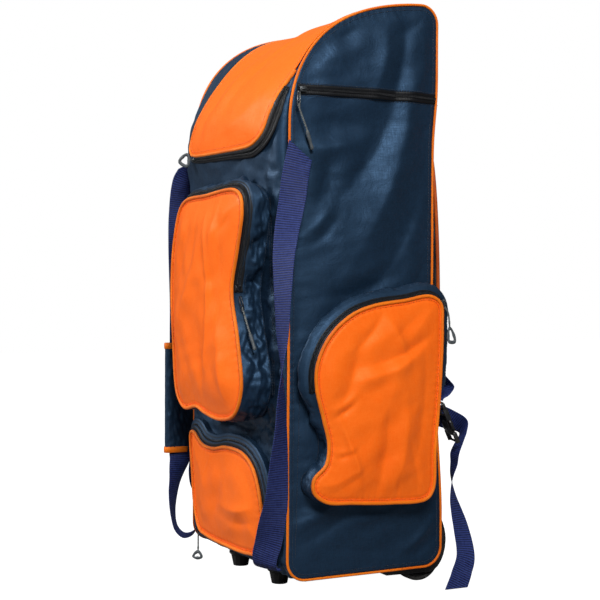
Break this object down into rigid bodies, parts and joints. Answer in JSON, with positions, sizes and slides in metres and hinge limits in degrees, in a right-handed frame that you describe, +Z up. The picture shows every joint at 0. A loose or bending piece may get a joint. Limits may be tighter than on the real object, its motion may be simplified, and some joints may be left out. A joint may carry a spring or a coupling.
{
  "type": "wheeled duffel bag",
  "caption": "Tall upright travel bag with a zipped wrap-over lid, bellows pockets, webbing carry straps, shoulder straps, wheels and feet.",
  "frame": {"origin": "on the floor, under the middle of the overall box", "axes": "+Z up; the front with its pockets and lid looks along -Y, the wheels and shoulder straps are at +Y, and the near side of the picture is +X"},
  "size_m": [0.4946, 0.4228, 0.9471],
  "materials": {
    "navy_cloth": "navy polyester weave",
    "orange_cloth": "bright orange polyester weave",
    "orange_piping": "amber cord seams and bindings",
    "black_zip": "black coil zip tape",
    "blue_webbing": "ribbed blue webbing",
    "black_plastic": "moulded black plastic",
    "black_mesh": "black padded mesh",
    "grey_pull": "grey zip pulls",
    "wheel_rubber": "black wheel tread",
    "steel": "axle"
  },
  "bodies": {
    "bag": {"side_panel_right": "navy_cloth", "side_panel_left": "navy_cloth", "side_pocket_right_gusset": "navy_cloth", "side_pocket_left_gusset": "navy_cloth", "front_panel": "navy_cloth", "upper_pocket_gusset": "navy_cloth", "lower_pocket_gusset": "navy_cloth", "grip_wrap": "navy_cloth", "side_pocket_right_face": "orange_cloth", "side_pocket_left_face": "orange_cloth", "upper_pocket_face": "orange_cloth", "lower_pocket_face": "orange_cloth", "lid": "orange_cloth", "side_piping_right": "orange_piping", "side_piping_left": "orange_piping", "side_pocket_right_piping": "orange_piping", "side_pocket_left_piping": "orange_piping", "shoulder_binding_right": "orange_piping", "shoulder_binding_left": "orange_piping", "lid_piping": "orange_piping", "upper_pocket_piping": "orange_piping", "lower_pocket_piping": "orange_piping", "side_zip_right": "black_zip", "side_zip_left": "black_zip", "side_pocket_right_zip": "black_zip", "side_pocket_left_zip": "black_zip", "lid_zip": "black_zip", "upper_pocket_zip": "black_zip", "lower_pocket_zip": "black_zip", "pad_webbing_right": "blue_webbing", "pad_webbing_left": "blue_webbing", "tail_webbing_right": "blue_webbing", "tail_webbing_left": "blue_webbing", "carry_strap_right": "blue_webbing", "carry_strap_left": "blue_webbing", "wheel_housing_right": "black_plastic", "wheel_housing_left": "black_plastic", "foot_right": "black_plastic", "foot_left": "black_plastic", "buckle_right": "black_plastic", "buckle_left": "black_plastic", "base_board": "black_plastic", "shoulder_pad_right": "black_mesh", "shoulder_pad_left": "black_mesh", "back_panel": "black_mesh", "side_pull_right": "grey_pull", "side_pull_left": "grey_pull", "side_pocket_right_pull": "grey_pull", "side_pocket_left_pull": "grey_pull", "lid_pull": "grey_pull", "upper_pocket_pull": "grey_pull", "lower_pocket_pull": "grey_pull", "axle_right": "steel", "axle_left": "steel"},
    "right_wheel": {"wheel_right": "wheel_rubber"},
    "left_wheel": {"wheel_left": "wheel_rubber"}
  },
  "joints": [
    {"name": "wheel_right_spin", "type": "hinge", "parent": "bag", "child": "right_wheel", "pos_m": [0.153, 0.12155, 0.03951], "axis": [1, 0, 0], "continuous": true},
    {"name": "wheel_left_spin", "type": "hinge", "parent": "bag", "child": "left_wheel", "pos_m": [-0.153, 0.12155, 0.03951], "axis": [1, 0, 0], "continuous": true}
  ]
}
